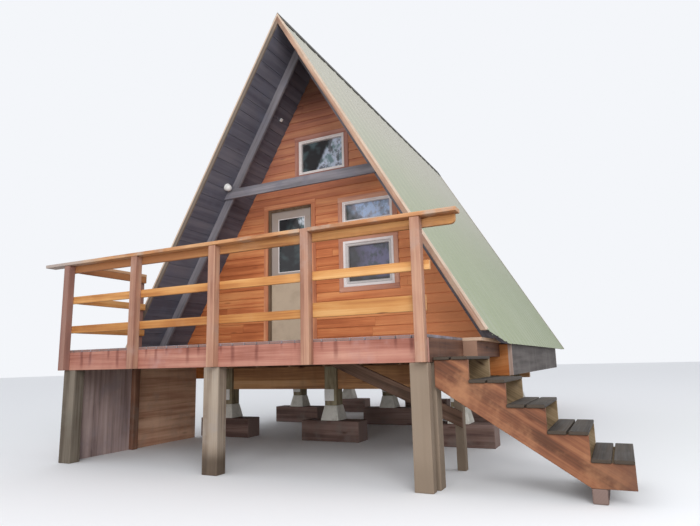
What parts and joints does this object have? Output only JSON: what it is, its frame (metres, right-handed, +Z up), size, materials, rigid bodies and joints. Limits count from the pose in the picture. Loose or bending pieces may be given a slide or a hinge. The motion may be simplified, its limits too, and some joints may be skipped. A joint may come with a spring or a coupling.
{
  "type": "a-frame cabin",
  "caption": "Timber A-frame cabin with ribbed metal roof, lapped cedar front, raised deck with railing, side stair, pier posts on blocks and a hinged front door.",
  "frame": {"origin": "centre of the object's outline on the ground, at the lowest point where it meets the ground", "axes": "+Z up, +Y from the deck to the rear of the cabin, +X to the right seen from the deck"},
  "size_m": [6.412, 8.63, 5.799],
  "materials": {
    "roof_metal": "pale grey-green paint, weathered, matt",
    "ridge_metal": "dark weathered paint",
    "roof_timber": "bare dark grey boards",
    "rafter_timber": "bare weathered grey timber",
    "barge_timber": "stained cedar",
    "cedar_siding": "lapped cedar boards, oiled",
    "trim_cedar": "oiled cedar",
    "floor_timber": "bare floor boards",
    "frame_timber": "bare brown timber",
    "sill_timber": "bare timber",
    "skirt_cedar": "oiled cedar",
    "grey_skirt": "weathered boards",
    "pale_board": "pale painted board",
    "pier_timber": "weathered timber",
    "galvanised": "galvanised",
    "concrete": "cast concrete, rough",
    "sleeper_timber": "tarred old timber",
    "deck_timber": "weathered deck boards",
    "rim_timber": "reddish stained board with drip stains",
    "dark_skirt": "dark weathered boards",
    "rail_post_timber": "stained timber",
    "rail_timber": "stained yellow timber",
    "stringer_timber": "red-brown stained timber with knots",
    "tread_timber": "wet weathered timber",
    "white_paint": "off-white paint",
    "door_paint": "beige paint",
    "pane_glass": "clear, with dark rooms behind",
    "brass_metal": "aged",
    "lamp_plastic": "white"
  },
  "bodies": {
    "frame": {"roof_sheet_left": "roof_metal", "roof_sheet_right": "roof_metal", "ridge_cap": "ridge_metal", "roof_boards_left": "roof_timber", "roof_boards_right": "roof_timber", "rafters_left": "rafter_timber", "rafters_right": "rafter_timber", "collar_beam": "rafter_timber", "barge_boards_left": "barge_timber", "barge_boards_right": "barge_timber", "front_wall_left": "cedar_siding", "front_wall_right": "cedar_siding", "front_gable": "cedar_siding", "rear_wall": "cedar_siding", "opening_trim": "trim_cedar", "cabin_floor": "floor_timber", "floor_joists": "frame_timber", "floor_beams": "frame_timber", "eave_beams": "frame_timber", "deck_joists": "frame_timber", "deck_brace": "frame_timber", "stair_ledger": "frame_timber", "sill_plates": "sill_timber", "end_skirts": "skirt_cedar", "side_skirts": "grey_skirt", "corner_boards": "pale_board", "pier_posts": "pier_timber", "support_posts": "pier_timber", "pier_brackets": "galvanised", "door_hinges": "galvanised", "pier_blocks": "concrete", "sleepers": "sleeper_timber", "deck_floor": "deck_timber", "front_rim": "rim_timber", "side_rims": "rim_timber", "left_skirt": "dark_skirt", "rail_posts": "rail_post_timber", "front_rails": "rail_timber", "side_rails": "rail_timber", "rail_caps": "rail_timber", "stair_stringers": "stringer_timber", "stair_treads": "tread_timber", "door_frame": "white_paint", "window_frames": "white_paint", "window_glass": "pane_glass", "porch_light": "lamp_plastic"},
    "door": {"door_leaf": "door_paint", "door_glass": "pane_glass", "door_knob": "brass_metal"}
  },
  "joints": [
    {"name": "door_hinge", "type": "hinge", "parent": "frame", "child": "door", "pos_m": [-1.458, -1.816, 1.338], "axis": [0, 0, 1], "range_deg": [0, 90]}
  ]
}
